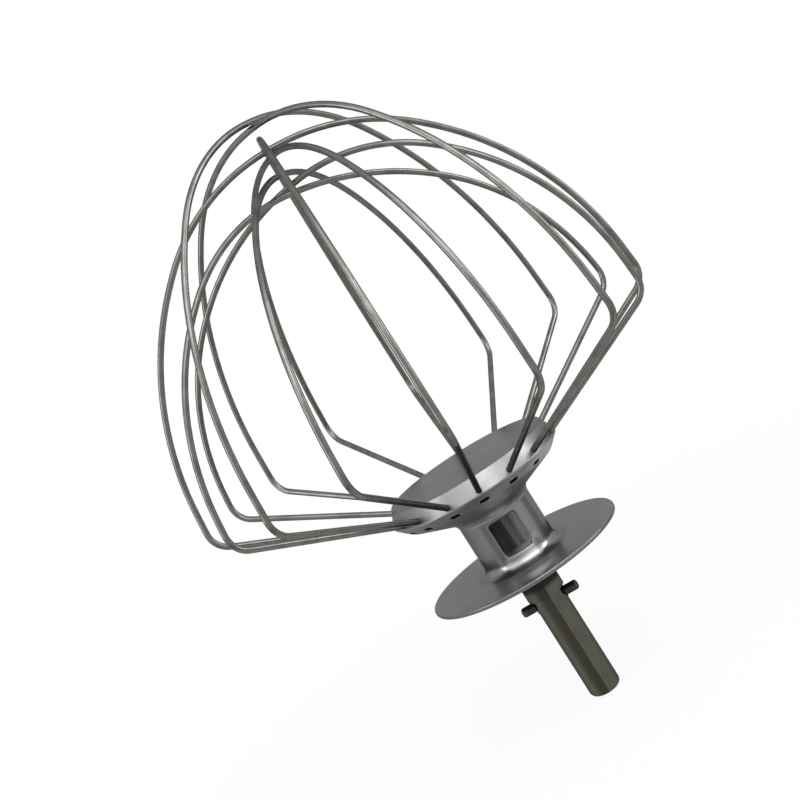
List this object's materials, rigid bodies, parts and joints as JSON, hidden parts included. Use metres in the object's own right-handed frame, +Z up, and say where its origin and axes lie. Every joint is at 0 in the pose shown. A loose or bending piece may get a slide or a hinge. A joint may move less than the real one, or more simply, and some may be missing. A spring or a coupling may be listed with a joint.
{
  "type": "stand mixer wire whisk",
  "caption": "Balloon whisk for a stand mixer: bent steel wire loops seated in a cast hub with a round flange, on a steel drive shaft with a cross pin.",
  "frame": {"origin": "on the axis, at the step where the ground journal of the drive shaft begins, just below the cross pin", "axes": "+Z up the axis from the drive shaft towards the tips of the wire loops; -Y is the side with one of the two windows and the first loop; +X to the right of it"},
  "size_m": [0.1616, 0.1623, 0.2153],
  "materials": {
    "cast_aluminium": "satin cast and turned aluminium",
    "shaft_steel": "ground steel",
    "pin_steel": "dark hardened steel",
    "wire_steel": "drawn stainless steel wire"
  },
  "bodies": {
    "root": {"hub": "cast_aluminium", "drive_shaft": "shaft_steel", "cross_pin": "pin_steel", "wire_loop_1": "wire_steel", "wire_loop_2": "wire_steel", "wire_loop_3": "wire_steel", "wire_loop_4": "wire_steel", "wire_loop_5": "wire_steel", "wire_loop_6": "wire_steel", "wire_loop_7": "wire_steel", "wire_loop_8": "wire_steel"}
  },
  "joints": []
}
